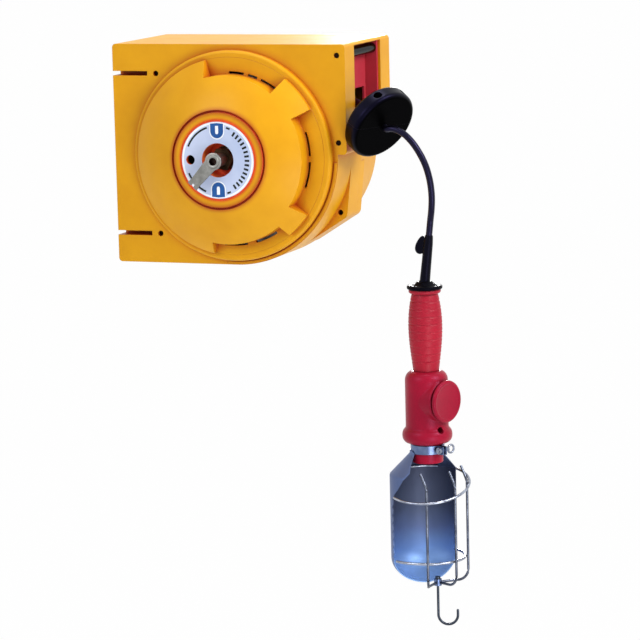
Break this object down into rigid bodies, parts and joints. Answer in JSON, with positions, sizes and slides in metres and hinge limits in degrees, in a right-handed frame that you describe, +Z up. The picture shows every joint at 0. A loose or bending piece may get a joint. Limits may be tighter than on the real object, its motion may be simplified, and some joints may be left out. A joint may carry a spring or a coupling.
{
  "type": "spring-return cord reel with hand lamp",
  "caption": "Wall-mounted spring-return cord reel: boxy housing with a round dial cover, roller mouth and split cord stop, and a caged inspection hand lamp hanging on the cord.",
  "frame": {"origin": "centre of the flat wall face of the housing", "axes": "+X from the wall to the cord mouth, -Y to the dial side, +Z up"},
  "size_m": [0.3852, 0.213, 0.6208],
  "materials": {
    "housing_plastic": "semi-gloss moulded, fine grain",
    "dial_label": "smooth printed label",
    "screw_steel": "blackened",
    "guide_plastic": "moulded",
    "roller_plastic": "turned",
    "shaft_steel": "plain ground",
    "nut_brass": "darkened",
    "spring_steel": "blued strip",
    "drum_sheet": "rolled sheet",
    "bush_bronze": "sintered",
    "ratchet_steel": "as cast",
    "insulator": "moulded resin",
    "contact_brass": "polished",
    "carbon": "pressed carbon",
    "gland_plastic": "moulded",
    "cord_jacket": "satin",
    "stop_rubber": "satin",
    "cap_rubber": "satin",
    "grip_rubber": "satin",
    "lamp_plastic": "smooth moulded",
    "collar_steel": "zinc plated",
    "reflector_steel": "bright plated sheet",
    "cage_wire": "plated wire",
    "hook_steel": "plated wire"
  },
  "bodies": {
    "housing": {"front_shell": "housing_plastic", "back_shell": "housing_plastic", "spring_cover": "housing_plastic", "hub_plate": "housing_plastic", "dial_plate": "dial_label", "housing_screws": "screw_steel", "roller_screws": "screw_steel", "mouth_guide": "guide_plastic", "pawl_pin": "shaft_steel", "brush_holder": "insulator", "carbon_brushes": "carbon", "feed_gland": "gland_plastic", "cord_lead": "cord_jacket", "cord_free": "cord_jacket", "stop_upper_half": "stop_rubber", "stop_lower_half": "stop_rubber", "stop_screws": "screw_steel", "cord_sleeve": "cord_jacket", "handle_cap": "cap_rubber", "hand_grip": "grip_rubber", "lamp_body": "lamp_plastic", "bulb_socket": "contact_brass"},
    "tension_shaft": {"main_shaft": "shaft_steel", "shaft_nut": "nut_brass", "tension_lever": "shaft_steel", "spring_arbor": "shaft_steel"},
    "drum": {"drum_front_flange": "drum_sheet", "drum_core": "drum_sheet", "drum_back_flange": "drum_sheet", "drum_bushes": "bush_bronze", "spring_case": "drum_sheet", "power_spring": "spring_steel", "ratchet_ring": "ratchet_steel", "slip_disc": "insulator", "slip_rings": "contact_brass", "cord_core": "cord_jacket", "cord_winding": "cord_jacket"},
    "upper_roller": {"upper_roller": "roller_plastic"},
    "lower_roller": {"lower_roller": "roller_plastic"},
    "pawl": {"ratchet_pawl": "ratchet_steel"},
    "switch": {"switch_cap": "lamp_plastic"},
    "cage": {"cage_collar": "collar_steel", "collar_screw": "collar_steel", "reflector": "reflector_steel", "cage_rings": "cage_wire", "cage_wires": "cage_wire", "hook_bush": "collar_steel"},
    "hook": {"lamp_hook": "hook_steel"}
  },
  "joints": [
    {"name": "drum_spin", "type": "hinge", "parent": "housing", "child": "drum", "pos_m": [0.138, 0, -0.0005], "axis": [0, 1, 0], "continuous": true},
    {"name": "tension_shaft_turn", "type": "hinge", "parent": "housing", "child": "tension_shaft", "pos_m": [0.138, 0, -0.0005], "axis": [0, 1, 0], "continuous": true},
    {"name": "upper_roller_spin", "type": "hinge", "parent": "housing", "child": "upper_roller", "pos_m": [0.256, 0, 0.106], "axis": [0, 1, 0], "continuous": true},
    {"name": "lower_roller_spin", "type": "hinge", "parent": "housing", "child": "lower_roller", "pos_m": [0.256, 0, 0.0145], "axis": [0, 1, 0], "continuous": true},
    {"name": "pawl_swing", "type": "hinge", "parent": "housing", "child": "pawl", "pos_m": [0.05824, 0.044, -0.03769], "axis": [0, -1, 0], "range_deg": [-6, 12], "stiffness_Nm_per_rad": 0.05},
    {"name": "switch_push", "type": "slide", "parent": "housing", "child": "switch", "axis": [-0.9336, 0.3584, 0], "range_m": [0, 0.002], "stiffness_N_per_m": 1000},
    {"name": "cage_turn", "type": "hinge", "parent": "housing", "child": "cage", "pos_m": [0.34, -0.046, -0.3114], "axis": [0, 0, 1], "continuous": true},
    {"name": "hook_swivel", "type": "hinge", "parent": "cage", "child": "hook", "pos_m": [0.35059, -0.05163, -0.4559], "axis": [0, 0, 1], "continuous": true}
  ]
}
